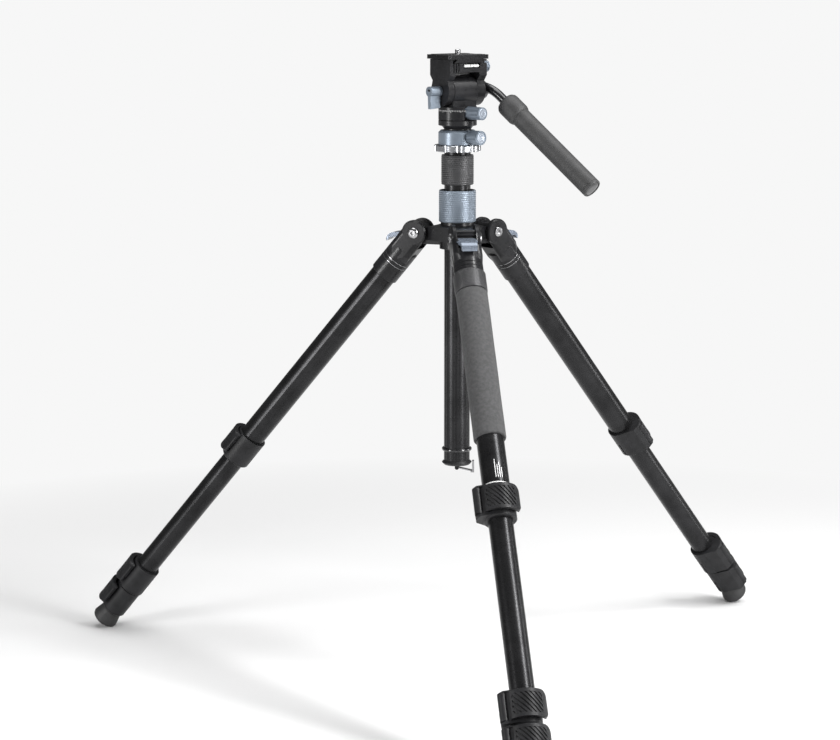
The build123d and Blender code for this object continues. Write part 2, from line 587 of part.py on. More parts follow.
def tilt_lever():
    """Wing lever on the left end of the tilt axis."""
    hub = rod_x(5.3, CHEEK_LEFT - 14.5, CHEEK_LEFT - 0.3) - rod_x(2.4, CHEEK_LEFT - 15, CHEEK_LEFT - 12)
    wing = Polyline((CHEEK_LEFT - 0.9, 0), (CHEEK_LEFT - 1.4, -17.4), (CHEEK_LEFT - 13.6, -18.4),
                    (CHEEK_LEFT - 14.4, 0), close=True)
    blade = Pos(0, 2.4, 0) * Rot(90, 0, 0) * extrude(make_face(wing), 4.8)
    screw = rod_x(3.0, CHEEK_LEFT - 1, -CHEEK_INNER - 1.5)
    return Pos(0, 0, TILT_Z) * (hub + blade + screw)


def dovetail(bottom, top, half_width, half_depth):
    slope = top - bottom
    outline = Polyline((-half_width, bottom), (half_width, bottom), (half_width - slope, top),
                       (-half_width + slope, top), close=True)
    return Pos(0, half_depth, 0) * Rot(90, 0, 0) * extrude(make_face(outline), 2 * half_depth)


def quick_release_plate():
    """Plate with a dovetail, a recess for the camera screw's head and its slot."""
    low, high = PLATE
    outline = RectangleRounded(2 * PLATE_HALF_WIDTH, 2 * PLATE_HALF_DEPTH, 2.5)
    body = extrude(Pos(0, 0, low) * outline, high - low)
    body += dovetail(DOVETAIL_BOTTOM, low, DOVETAIL_HALF_WIDTH, PLATE_HALF_DEPTH)
    slot = SlotCenterToCenter(12, 2 * CAMERA_SCREW_RADIUS + 0.8)
    body -= extrude(Pos(0, 0, DOVETAIL_BOTTOM - 1) * Rot(0, 0, 90) * slot, 30)
    recess = SlotCenterToCenter(12, 14.5)
    depth = SCREW_RECESS_TOP - DOVETAIL_BOTTOM + 1
    return body - extrude(Pos(0, 0, DOVETAIL_BOTTOM - 1) * Rot(0, 0, 90) * recess, depth)


def camera_screw():
    low, high, radius = SCREW_HEAD
    head = rod(radius, low, high) - Rot(0, 0, 30) * block(-8, 8, -0.7, 0.7, low - 1, low + 1)
    neck = PLATE[1] + 0.1
    stud = turned([(0, high - 0.6), (CAMERA_SHANK_RADIUS, high - 0.6), (CAMERA_SHANK_RADIUS, neck),
                   (CAMERA_SCREW_RADIUS, neck), (CAMERA_SCREW_RADIUS, CAMERA_SCREW_TOP - 0.7),
                   (CAMERA_SCREW_RADIUS - 0.7, CAMERA_SCREW_TOP), (0, CAMERA_SCREW_TOP)])
    return head + stud


def clamp_jaw():
    """Moving jaw on the right edge of the plate."""
    low = DOVETAIL_BOTTOM - 0.1
    top = PLATE[0] - 0.5
    reach = DOVETAIL_HALF_WIDTH + JAW_GAP + 0.1
    outline = Polyline((reach, low), (22.3, low), (22.3, low + 2), (CHEEK_RIGHT, low + 2),
                       (CHEEK_RIGHT, top), (reach - top + low, top), close=True)
    jaw = Pos(0, PLATFORM_HALF_DEPTH - 0.4, 0) * Rot(90, 0, 0) * extrude(
        make_face(outline), 2 * PLATFORM_HALF_DEPTH - 0.8
    )
    return jaw


def clamp_knob():
    knob = lobed_knob(CLAMP_KNOB_RADIUS, 2.5, -7, 0.4, 7.6, CLAMP_KNOB_RADIUS)
    return Pos(CHEEK_RIGHT + 0.4, CLAMP_KNOB_Y, CLAMP_KNOB_Z) * Rot(0, 90, 0) * knob


def handle_path(along):
    """Offset (back, up) of a point on the sloping rod, from the rod's bend corner."""
    drop = math.radians(HANDLE_DROP)
    return HANDLE_BEND_AT + along * math.cos(drop), HANDLE_LIFT - along * math.sin(drop)


def handle_frame():
    """Places shapes drawn with the handle running back along -Y in the plane X = 0."""
    return Pos(HANDLE_PLANE_X, 0, TILT_Z) * Rot(0, 0, HANDLE_SPLAY)


def handle_rod():
    """Rosette hub and bent steel rod."""
    back, up = handle_path(HANDLE_COLLAR_AT + HANDLE_COLLAR_LENGTH)
    line = FilletPolyline((0, 6, HANDLE_LIFT), (0, -HANDLE_BEND_AT, HANDLE_LIFT), (0, -back, up),
                          radius=HANDLE_BEND_RADIUS)
    bar = sweep(Plane(origin=line @ 0, z_dir=line % 0) * Circle(HANDLE_ROD_RADIUS), line)
    disc = rod_x(HANDLE_HUB_RADIUS, CHEEK_RIGHT + 1.9, CHEEK_RIGHT + 8.6)
    hub = Pos(0, 0, TILT_Z) * (disc - rod_x(2.5 + RUN, 0, 60))
    inside = rod_x(40, 0, CHEEK_RIGHT + 1.9)
    knob_room = rod_x(6.3, CHEEK_RIGHT + 8.6, 60) + rod_x(2.5 + RUN, 0, 60)
    return hub + (handle_frame() * bar - Pos(0, 0, TILT_Z) * (inside + knob_room))


def handle_grip():
    """Rubber grip with a fat collar and a dark end cap, on the sloping rod."""
    start = HANDLE_COLLAR_AT
    end = start + HANDLE_COLLAR_LENGTH
    profile = [(0, start), (8.2, start), (11.0, start + 1.4), (HANDLE_COLLAR_RADIUS, start + 5),
               (HANDLE_COLLAR_RADIUS, end - 4), (11.4, end - 0.6), (HANDLE_GRIP_RADIUS, end),
               (HANDLE_GRIP_RADIUS, HANDLE_GRIP_END - 1.2), (HANDLE_GRIP_RADIUS - 1.2, HANDLE_GRIP_END),
               (0, HANDLE_GRIP_END)]
    grip = turned(profile) - rod(HANDLE_ROD_RADIUS, start - 1, end)
    corner = handle_frame() * Pos(0, -HANDLE_BEND_AT, HANDLE_LIFT)
    return corner * Rot(90 + HANDLE_DROP, 0, 0) * grip


def handle_knob():
    knob = lobed_knob(5.0, 2.5, -6.8, 0.3, 5.0, 5.0)
    return Pos(CHEEK_RIGHT + 8.6, 0, TILT_Z) * Rot(0, 90, 0) * knob


# ---- Output ----
def save(name, shape):
    export_step(shape, os.path.join("parts", name + ".step"))


def save_legs():
    shared = {"latch": latch(), "foot": foot()}
    locks = [lock_body(index) for index in range(3)]
    flip_lever = lever()
    for number in range(1, LEG_COUNT + 1):
        pieces = dict(shared)
        pieces["shoulder"] = shoulder(GRIP_LEG_COLLAR_END if number == 1 else COLLAR_END)
        for index in range(3):
            top = lock_top(number, index)
            pieces[f"tube_{index + 1}"] = leg_tube(index, top + LOCK_TUBE_DEPTH)
            pieces[f"lock_{index + 1}"] = Pos(0, 0, -top) * locks[index]
            pieces[f"lever_{index + 1}"] = Pos(0, 0, -top - LEVER_DROP) * flip_lever
        for name, piece in pieces.items():
            save(f"leg_{number}_{name}", place_leg(number, piece))
    save("leg_1_coupling_ring", place_leg(1, grip_ring()))
    save("leg_1_foam_grip", place_leg(1, foam_grip()))


def save_column():
    pieces = {
        "spider": spider(),
        "leg_hinge_bolts": hinge_bolts(),
        "column_lock_collar": lock_collar(),
        "centre_column": centre_column(),
        "column_end_cap": end_cap(),
        "column_hook": column_hook(),
        "column_grip_sleeve": grip_sleeve(),
        "coupler_lock_ring": lock_ring(),
        "coupler_ring": coupler_ring(),
        "coupler_knob": coupler_knob(),
    }
    for name, piece in pieces.items():
        save(name, place_column(piece))


def save_head():
    pieces = {
        "pan_base": pan_base(),
        "pan_housing": pan_housing(),
        "pan_knob": pan_knob(),
        "tilt_cradle": tilt_cradle(),
        "tilt_lever": tilt_lever(),
        "quick_release_plate": quick_release_plate(),
        "camera_screw": camera_screw(),
        "clamp_jaw": clamp_jaw(),
        "clamp_knob": clamp_knob(),
        "handle_rod": handle_rod(),
        "handle_grip": handle_grip(),
        "handle_knob": handle_knob(),
    }
    for name, piece in pieces.items():
        save(name, place_head(piece))


def main():
    os.makedirs("parts", exist_ok=True)
    save_legs()
    save_column()
    save_head()


if __name__ == "__main__":
    main()
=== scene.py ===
import json
import math
import bpy
import numpy as np
from mathutils import Matrix, Vector


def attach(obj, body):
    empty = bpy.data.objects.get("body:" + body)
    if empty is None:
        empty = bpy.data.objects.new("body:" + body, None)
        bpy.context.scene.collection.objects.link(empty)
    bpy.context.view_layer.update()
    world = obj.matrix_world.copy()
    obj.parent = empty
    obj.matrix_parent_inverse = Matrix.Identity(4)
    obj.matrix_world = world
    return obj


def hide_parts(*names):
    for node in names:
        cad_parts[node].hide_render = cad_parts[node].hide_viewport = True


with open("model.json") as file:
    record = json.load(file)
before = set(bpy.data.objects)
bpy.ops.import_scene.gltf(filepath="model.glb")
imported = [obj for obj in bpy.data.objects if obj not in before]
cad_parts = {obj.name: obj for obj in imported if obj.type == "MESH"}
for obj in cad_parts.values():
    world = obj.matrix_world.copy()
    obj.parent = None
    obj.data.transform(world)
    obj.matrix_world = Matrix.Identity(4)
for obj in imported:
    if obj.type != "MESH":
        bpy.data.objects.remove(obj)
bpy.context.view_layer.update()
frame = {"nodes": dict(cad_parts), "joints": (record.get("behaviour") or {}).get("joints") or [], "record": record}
NODES = frame["nodes"]
JOINTS = {joint["name"]: joint for joint in frame["joints"]}
MM = 0.001

# ---- Studio ----
BACKDROP_TONE = 0.93
ROOM_TONE = 0.13            # what the object's own reflections see between the lights
LIT_FLOOR_RADIUS = 0.62     # metres from the column's foot
FAR_FLOOR_RADIUS = 1.15

# ---- Camera, as seen by someone standing in front of leg 1 ----
CAMERA_DISTANCE = 2.689
CAMERA_ABOVE_HINGES = 0.298
CAMERA_AZIMUTH = -9.57      # degrees about +Z, from straight in front of leg 1
CAMERA_TURN = -0.85
CAMERA_PITCH = -9.42
CAMERA_LENS = 108.34        # mm, on a 36 mm wide sensor


# ---- Frames worked out from the joints ----
def axes_frame(origin, x_axis, z_axis):
    """Matrix whose X and Z columns are the two directions given."""
    x_axis = Vector(x_axis).normalized()
    z_axis = Vector(z_axis).normalized()
    y_axis = z_axis.cross(x_axis)
    columns = Matrix((x_axis, y_axis, z_axis)).transposed()
    return Matrix.Translation(Vector(origin)) @ columns.to_4x4()


def leg_frame(number):
    """Leg's own frame: hinge at the origin, leg along -Z, outward side -Y."""
    hinge = JOINTS[f"leg_{number}_spread"]
    down = Vector(JOINTS[f"leg_{number}_extend_2"]["axis"])
    return axes_frame(hinge["pos_m"], -Vector(hinge["axis"]), -down)


def local_box(node, matrix):
    """Lowest and highest corners of a CAD node in another frame."""
    back = matrix.inverted()
    points = [back @ vertex.co for vertex in NODES[node].data.vertices]
    low = Vector([min(point[i] for point in points) for i in range(3)])
    high = Vector([max(point[i] for point in points) for i in range(3)])
    return low, high


LEGS = {number: leg_frame(number) for number in (1, 2, 3)}
HINGE_Z = JOINTS["leg_1_spread"]["pos_m"][2]
TILT = JOINTS["tilt"]
HEAD = axes_frame((0, 0, 0), TILT["axis"], (0, 0, 1))
TILT_FRAME = axes_frame(TILT["pos_m"], TILT["axis"], (0, 0, 1))
UPRIGHT = Matrix.Identity(4)


# ---- Materials ----
class Shader:
    """A Principled material with a small set of procedural layers."""

    def __init__(self, name, colour, metallic=0.0, roughness=0.5, coat=0.0, coat_roughness=0.2):
        self.material = bpy.data.materials.new(name)
        self.material.use_nodes = True
        self.tree = self.material.node_tree
        self.bsdf = self.tree.nodes["Principled BSDF"]
        self.bsdf.inputs["Base Color"].default_value = (*colour, 1)
        self.bsdf.inputs["Metallic"].default_value = metallic
        self.bsdf.inputs["Roughness"].default_value = roughness
        self.bsdf.inputs["Coat Weight"].default_value = coat
        self.bsdf.inputs["Coat Roughness"].default_value = coat_roughness
        self.place = self.node("ShaderNodeTexCoord").outputs["Object"]
        self.normal = None

    def node(self, kind, **settings):
        made = self.tree.nodes.new(kind)
        for key, value in settings.items():
            setattr(made, key, value)
        return made

    def join(self, output, socket):
        self.tree.links.new(output, socket)

    def noise(self, scale, detail=4.0, stretch=(1, 1, 1), distortion=0.0):
        """Noise in object space, per metre, optionally stretched."""
        mapping = self.node("ShaderNodeMapping")
        mapping.inputs["Scale"].default_value = stretch
        self.join(self.place, mapping.inputs["Vector"])
        made = self.node("ShaderNodeTexNoise")
        made.inputs["Scale"].default_value = scale
        made.inputs["Detail"].default_value = detail
        made.inputs["Distortion"].default_value = distortion
        self.join(mapping.outputs["Vector"], made.inputs["Vector"])
        return made.outputs["Fac"]

    def cells(self, scale, feature="F1"):
        made = self.node("ShaderNodeTexVoronoi", feature=feature)
        made.inputs["Scale"].default_value = scale
        self.join(self.place, made.inputs["Vector"])
        return made.outputs["Distance"]

    def spread(self, value, low, high, from_low=0.3, from_high=0.7):
        made = self.node("ShaderNodeMapRange")
        made.inputs["From Min"].default_value = from_low
        made.inputs["From Max"].default_value = from_high
        made.inputs["To Min"].default_value = low
        made.inputs["To Max"].default_value = high
        self.join(value, made.inputs["Value"])
        return made.outputs["Result"]

    def tint(self, value, first, second, from_low=0.35, from_high=0.65):
        """Colour that runs between two tints as the value rises."""
        ramp = self.node("ShaderNodeValToRGB")
        ramp.color_ramp.elements[0].position = from_low
        ramp.color_ramp.elements[0].color = (*first, 1)
        ramp.color_ramp.elements[1].position = from_high
        ramp.color_ramp.elements[1].color = (*second, 1)
        self.join(value, ramp.inputs["Fac"])
        self.join(ramp.outputs["Color"], self.bsdf.inputs["Base Color"])

    def rough(self, value, low, high):
        self.join(self.spread(value, low, high), self.bsdf.inputs["Roughness"])

    def bump(self, value, strength, distance):
        made = self.node("ShaderNodeBump")
        made.inputs["Strength"].default_value = strength
        made.inputs["Distance"].default_value = distance
        self.join(value, made.inputs["Height"])
        if self.normal is not None:
            self.join(self.normal, made.inputs["Normal"])
        self.normal = made.outputs["Normal"]
        self.join(self.normal, self.bsdf.inputs["Normal"])

    def soft_edges(self, radius):
        made = self.node("ShaderNodeBevel", samples=4)
        made.inputs["Radius"].default_value = radius
        self.normal = made.outputs["Normal"]
        self.join(self.normal, self.bsdf.inputs["Normal"])


def shade(colour, factor):
    return tuple(channel * factor for channel in colour)


def casting_material():
    """Satin black paint over die-cast metal: fine orange peel and faint wear."""
    colour = (0.01, 0.01, 0.011)
    made = Shader("black_casting_paint", colour, 0.0, 0.3, coat=0.08, coat_roughness=0.12)
    made.bsdf.inputs["Specular IOR Level"].default_value = 0.22
    made.soft_edges(0.5 * MM)
    made.tint(made.noise(60, 5), shade(colour, 0.8), shade(colour, 1.5))
    made.rough(made.noise(300, 6), 0.26, 0.38)
    made.bump(made.noise(2600, 3), 0.25, 0.05 * MM)
    return made.material


def anodised_tube_material():
    """Satin black anodised tube with a fine drawn grain."""
    colour = (0.024, 0.024, 0.025)
    made = Shader("black_anodised_tube", colour, 0.7, 0.34)
    made.bsdf.inputs["Specular IOR Level"].default_value = 0.2
    made.tint(made.noise(45, 4), shade(colour, 0.8), shade(colour, 1.25))
    made.rough(made.noise(900, 5), 0.25, 0.33)
    made.bump(made.noise(5200, 2), 0.06, 0.02 * MM)
    return made.material


def blue_grey_material(name, colour, roughness=0.34):
    """Blasted and anodised aluminium."""
    made = Shader(name, colour, 0.45, roughness)
    made.soft_edges(0.35 * MM)
    made.tint(made.noise(80, 4), shade(colour, 0.9), shade(colour, 1.1))
    made.rough(made.noise(700, 5), roughness - 0.05, roughness + 0.06)
    made.bump(made.noise(6500, 2), 0.22, 0.02 * MM)
    return made.material


def polished_material():
    """Chromed brass with faint hand-polishing marks."""
    colour = (0.42, 0.43, 0.45)
    made = Shader("polished_metal", colour, 1.0, 0.2)
    made.soft_edges(0.4 * MM)
    made.tint(made.noise(120, 3), shade(colour, 0.9), colour)
    made.rough(made.noise(900, 5), 0.16, 0.26)
    made.bump(made.noise(3000, 3), 0.05, 0.01 * MM)
    return made.material


def steel_material():
    """Turned steel with faint tool marks."""
    colour = (0.48, 0.48, 0.49)
    made = Shader("turned_steel", colour, 1.0, 0.25)
    made.soft_edges(0.25 * MM)
    made.tint(made.noise(200, 3), shade(colour, 0.85), colour)
    made.rough(made.noise(1500, 4), 0.18, 0.32)
    made.bump(made.noise(4000, 3), 0.1, 0.01 * MM)
    return made.material


def nylon_material():
    """Glass-filled black nylon: spark-eroded grain and a soft sheen."""
    colour = (0.012, 0.012, 0.013)
    made = Shader("black_nylon", colour, 0.0, 0.42)
    made.bsdf.inputs["Specular IOR Level"].default_value = 0.24
    made.soft_edges(0.6 * MM)
    made.tint(made.noise(90, 5), shade(colour, 0.8), shade(colour, 1.4))
    made.rough(made.noise(500, 5), 0.36, 0.5)
    made.bump(made.cells(2400), 0.22, 0.05 * MM)
    return made.material


def foam_material():
    """Closed-cell foam: tiny pores and a dusty, uneven tone."""
    colour = (0.056, 0.056, 0.057)
    made = Shader("grip_foam", colour, 0.0, 0.85)
    made.tint(made.noise(300, 6), shade(colour, 0.85), shade(colour, 1.2))
    made.rough(made.noise(700, 4), 0.78, 0.92)
    made.bump(made.cells(1500), 0.35, 0.12 * MM)
    made.bump(made.noise(4200, 3), 0.3, 0.05 * MM)
    return made.material


def rubber_material(name, level, roughness=0.6):
    """Moulded rubber with a matt bloom."""
    colour = (level, level, level * 1.02)
    made = Shader(name, colour, 0.0, roughness)
    made.soft_edges(0.8 * MM)
    made.tint(made.noise(110, 5), shade(colour, 0.85), shade(colour, 1.2))
    made.rough(made.noise(600, 5), roughness - 0.06, roughness + 0.08)
    made.bump(made.noise(2800, 4), 0.3, 0.06 * MM)
    return made.material


def black_gloss_material(name="black_gloss", roughness=0.16):
    colour = (0.008, 0.008, 0.009)
    made = Shader(name, colour, 0.0, roughness, coat=0.6, coat_roughness=0.08)
    made.soft_edges(0.5 * MM)
    made.tint(made.noise(50, 3), colour, shade(colour, 1.8))
    made.rough(made.noise(400, 4), roughness - 0.04, roughness + 0.08)
    made.bump(made.noise(900, 3), 0.06, 0.03 * MM)
    return made.material


def enamel_material(name, colour):
    """Printed or enamelled mark, slightly uneven."""
    made = Shader(name, colour, 0.0, 0.45)
    made.tint(made.noise(400, 4), shade(colour, 0.9), colour)
    made.rough(made.noise(900, 4), 0.38, 0.52)
    return made.material


def vial_material():
    """Pale spirit level: milky acrylic."""
    colour = (0.8, 0.81, 0.8)
    made = Shader("level_acrylic", colour, 0.0, 0.18, coat=0.4, coat_roughness=0.1)
    made.tint(made.noise(150, 3), shade(colour, 0.92), colour)
    made.rough(made.noise(600, 3), 0.14, 0.24)
    return made.material


def floor_material():
    """Pale paper: lit under the tripod, and blending outwards into the backdrop's own tone."""
    made = Shader("pale_floor", (0.8, 0.8, 0.8), 0.0, 0.8)
    made.tint(made.noise(3, 2), (0.795, 0.795, 0.795), (0.805, 0.805, 0.805))
    length = made.node("ShaderNodeVectorMath", operation="LENGTH")
    made.join(made.place, length.inputs[0])
    blend = made.spread(length.outputs["Value"], 0, 1, LIT_FLOOR_RADIUS, FAR_FLOOR_RADIUS)
    glow = made.node("ShaderNodeEmission")
    glow.inputs["Color"].default_value = (1, 1, 1, 1)
    glow.inputs["Strength"].default_value = BACKDROP_TONE
    mix = made.node("ShaderNodeMixShader")
    made.join(blend, mix.inputs[0])
    made.join(made.bsdf.outputs["BSDF"], mix.inputs[1])
    made.join(glow.outputs["Emission"], mix.inputs[2])
    made.join(mix.outputs["Shader"], made.tree.nodes["Material Output"].inputs["Surface"])
    return made.material


MATERIALS = {
    "black_casting": casting_material(),
    "black_anodised": anodised_tube_material(),
    "blue_grey_anodised": blue_grey_material("blue_grey_anodised", (0.19, 0.225, 0.27)),
    "polished_ring": polished_material(),
    "steel": steel_material(),
    "black_plastic": nylon_material(),
    "foam": foam_material(),
    "rubber": rubber_material("dark_rubber", 0.03),
    "black_steel": black_gloss_material(),
    "knurl": blue_grey_material("black_knurl", (0.05, 0.05, 0.052), 0.4),
    "foot": rubber_material("foot_rubber", 0.018),
    "latch": blue_grey_material("blue_grey_latch", (0.2, 0.23, 0.28), 0.24),
    "gloss": black_gloss_material("black_gloss_trim", 0.12),
    "print": enamel_material("pale_print", (0.75, 0.75, 0.75)),
    "acrylic": vial_material(),
    "bright_blue": blue_grey_material("turned_blue_ends", (0.36, 0.4, 0.46), 0.3),
}


# ---- Mesh building ----
SHARP_ANGLE = 40            # degrees, above which an edge stays crisp


def add_piece(name, points, faces, material, matrix, body, slot=None, replaces=()):
    """One mesh object, placed by matrix, that rides on a CAD body."""
    mesh = bpy.data.meshes.new(name)
    mesh.from_pydata([matrix @ Vector(point) for point in points], [], faces)
    mesh.materials.append(material)
    for polygon in mesh.polygons:
        polygon.use_smooth = True
    mesh.update()
    mesh.set_sharp_from_angle(angle=math.radians(SHARP_ANGLE))
    piece = bpy.data.objects.new(name, mesh)
    bpy.context.scene.collection.objects.link(piece)
    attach(piece, body)
    if replaces:
        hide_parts(*replaces)


def skin(rows, closed):
    """Faces between rows of points: closed joins the last row to the first, else the ends are capped."""
    count = len(rows[0])
    points = [point for row in rows for point in row]
    faces = []
    last = len(rows) if closed else len(rows) - 1
    for row in range(last):
        near = row * count
        far = (row + 1) % len(rows) * count
        for i in range(count):
            j = (i + 1) % count
            faces.append((near + i, near + j, far + j, far + i))
    if not closed:
        faces.append(tuple(range(count))[::-1])
        faces.append(tuple(range(len(points) - count, len(points))))
    return points, faces


def lathe(profile, sides, relief=None, closed=False):
    """Turned shape about Z from (radius, height) points, with an optional raised pattern."""
    rows = []
    for radius, height in profile:
        row = []
        for i in range(sides):
            angle = 2 * math.pi * i / sides
            reach = radius + (relief(angle, height, radius) if relief else 0)
            row.append((reach * math.cos(angle), reach * math.sin(angle), height))
        rows.append(row)
    return skin(rows, closed)


def box_mesh(low, high):
    """Block between two corners."""
    rows = []
    for height in (low[2], high[2]):
        near = [(low[0], low[1], height), (high[0], low[1], height)]
        far = [(high[0], high[1], height), (low[0], high[1], height)]
        rows.append(near + far)
    return skin(rows, False)


def printed_bars(name, bars, matrix, body):
    """Bars of one printed mark, each an (angle about Z, low corner, high corner)."""
    points, faces = [], []
    for angle, low, high in bars:
        turn = Matrix.Rotation(angle, 4, "Z")
        corners, sides = box_mesh(low, high)
        start = len(points)
        points += [turn @ Vector(corner) for corner in corners]
        faces += [tuple(start + i for i in side) for side in sides]
    add_piece(name, points, faces, MATERIALS["print"], matrix, body)


def step_range(first, last, pitch):
    """Evenly spaced values from first to last, about a pitch apart."""
    count = max(1, round((last - first) / pitch))
    return [first + (last - first) * i / count for i in range(count + 1)]


# ---- Knurled rings ----
KNURL_EDGE = 1.6 * MM       # plain band at each end
KNURL_BEVEL = 0.9 * MM
STUD_SHARE = 0.45           # how much of the relief is stud, and the rest is ridge
COLLAR_BORE = 18.0 * MM     # these bores are inner radii
TUBE_BORE = 14.1 * MM
COUPLING_BORE = 14.7 * MM


def knurled_ring(name, node, body, bore, matrix, depth, pitch, around, look, slot):
    """Ring cut into fine rows of small studs between two bevelled edges, standing for a CAD ring."""
    low, high = local_box(node, matrix)
    radius = (high.x - low.x) / 2
    bottom, top = low.z, high.z
    edge = KNURL_EDGE
    rows = round((top - bottom - 2 * edge) / pitch)

    def studs(angle, height, at_radius):
        place = (height - bottom - edge) / (top - bottom - 2 * edge) * rows
        if at_radius < radius - 1e-6 or not 0 <= place <= rows:
            return 0
        shift = 0.5 * (math.floor(place) % 2)
        ridge = math.sin(math.pi * (place % 1))
        stud = math.sin(math.pi * ((angle * around / (2 * math.pi) + shift) % 1))
        return -depth * (1 - ridge * (1 - STUD_SHARE + STUD_SHARE * stud))

    bevel = KNURL_BEVEL
    profile = [(bore, bottom), (radius - bevel, bottom), (radius - 0.2 * bevel, bottom + 0.8 * bevel)]
    profile += [(radius, z) for z in step_range(bottom + edge, top - edge, pitch / 6)]
    profile += [(radius - 0.2 * bevel, top - 0.8 * bevel), (radius - bevel, top), (bore, top)]
    points, faces = lathe(profile, around * 5, studs, closed=True)
    add_piece(name, points, faces, MATERIALS[look], matrix, body, slot, (node,))


def make_knurled_rings():
    knurled_ring("lock_collar_knurl", "column_lock_collar", "column_lock", COLLAR_BORE, UPRIGHT,
                 0.45 * MM, 2.2 * MM, 60, "blue_grey_anodised", "blue_grey_anodised")
    knurled_ring("grip_sleeve_knurl", "column_grip_sleeve", "sleeve", TUBE_BORE, UPRIGHT,
                 0.5 * MM, 2.1 * MM, 54, "knurl", "black_anodised")
    knurled_ring("coupling_ring_knurl", "leg_1_coupling_ring", "leg_1_coupling_ring", COUPLING_BORE,
                 LEGS[1], 0.3 * MM, 1.7 * MM, 60, "knurl", "black_anodised")


# ---- Grips ----
FOAM_EDGE = 1.6 * MM
FOAM_WAVE = 0.12 * MM
EDGE_STEPS = 5


def make_foam_grip():
    """Foam sleeve on leg 1, rounded at its ends and not quite even."""
    low, high = local_box("leg_1_foam_grip", LEGS[1])
    radius = (high.x - low.x) / 2
    bottom, top = low.z, high.z

    def uneven(angle, height, at_radius):
        if at_radius < 0.9 * radius:
            return 0
        wave = math.sin(3 * angle + 40 * height) * math.sin(2 * angle - 55 * height)
        return -FOAM_WAVE * (1 + wave)

    edge = FOAM_EDGE
    turns = [math.pi / 2 * i / EDGE_STEPS for i in range(EDGE_STEPS + 1)]
    profile = [(TUBE_BORE, bottom)]
    for turn in turns:
        profile.append((radius - edge * (1 - math.sin(turn)), bottom + edge * (1 - math.cos(turn))))
    profile += [(radius, z) for z in step_range(bottom + 2 * edge, top - 2 * edge, 4 * MM)]
    for turn in turns:
        profile.append((radius - edge * (1 - math.cos(turn)), top - edge * (1 - math.sin(turn))))
    profile.append((TUBE_BORE, top))
    points, faces = lathe(profile, 72, uneven, closed=True)
    add_piece("foam_grip_cover", points, faces, MATERIALS["foam"], LEGS[1], "leg_1_upper", "foam",
              ("leg_1_foam_grip",))


def long_axis(node, away_from):
    """Frame along a turned node: origin at its near end, Z towards its far end."""
    points = np.array([vertex.co[:] for vertex in NODES[node].data.vertices])
    middle = points.mean(axis=0)
    along = np.linalg.svd(points - middle, full_matrices=False)[2][0]
    if np.dot(along, middle - np.array(away_from)) < 0:
        along = -along
    heights = (points - middle) @ along
    far_rim = points[heights > heights.max() - 0.1 * MM].mean(axis=0)
    near = far_rim - along * (heights.max() - heights.min())
    along = Vector(along)
    return axes_frame(near, along.orthogonal(), along), heights.max() - heights.min()


def make_handle_grip():
    """Rubber grip with a fat collar, a seam, and a glossy cap let into its far end."""
    matrix, length = long_axis("handle_grip", TILT["pos_m"])
    bore, collar, grip = 5.2 * MM, 12.7 * MM, 10.7 * MM
    collar_end = 25 * MM
    waist = 10.5 * MM
    profile = [(bore, 0), (8.4 * MM, 0.1 * MM), (10.8 * MM, 1.2 * MM), (12.2 * MM, 3.2 * MM),
               (collar, 5.4 * MM), (collar, collar_end - 4 * MM), (12.1 * MM, collar_end - 1.8 * MM),
               (11.4 * MM, collar_end - 0.4 * MM), (waist, collar_end), (waist, collar_end + 0.6 * MM),
               (grip, collar_end + 1.0 * MM)]
    profile += [(grip, z) for z in step_range(collar_end + 4 * MM, length - 5 * MM, 6 * MM)]
    seam = length - 4.2 * MM
    seam_floor = grip - 0.45 * MM
    recess = length - 0.8 * MM
    profile += [(grip, seam), (seam_floor, seam + 0.3 * MM), (seam_floor, seam + 0.8 * MM),
                (grip, seam + 1.1 * MM), (grip, length - 1.2 * MM), (grip - 0.5 * MM, length - 0.3 * MM),
                (grip - 1.3 * MM, length), (grip - 2.0 * MM, length), (grip - 2.2 * MM, recess),
                (bore, recess)]
    points, faces = lathe(profile, 72, closed=True)
    add_piece("handle_grip_cover", points, faces, MATERIALS["rubber"], matrix, "handle", "rubber",
              ("handle_grip",))
    cap = grip - 2.4 * MM
    profile = [(cap, length - 1.2 * MM), (cap, length - 0.5 * MM), (cap - 0.6 * MM, length - 0.1 * MM),
               (0.4 * cap, length - 0.05 * MM), (0.05 * cap, length)]
    points, faces = lathe(profile, 48)
    add_piece("handle_end_cap", points, faces, MATERIALS["gloss"], matrix, "handle")


# ---- Head details ----
VIAL_ACROSS = 5 * MM        # from the head's middle plane
VIAL_BACK = -16.9 * MM
VIAL_BELOW_TOP = 6.6 * MM
VIAL_HALF_LENGTH = 9.6 * MM
VIAL_RADIUS = 1.7 * MM
VIAL_LINES = (-1.9 * MM, 1.9 * MM)
LINE_HALF_WIDTH = 0.2 * MM


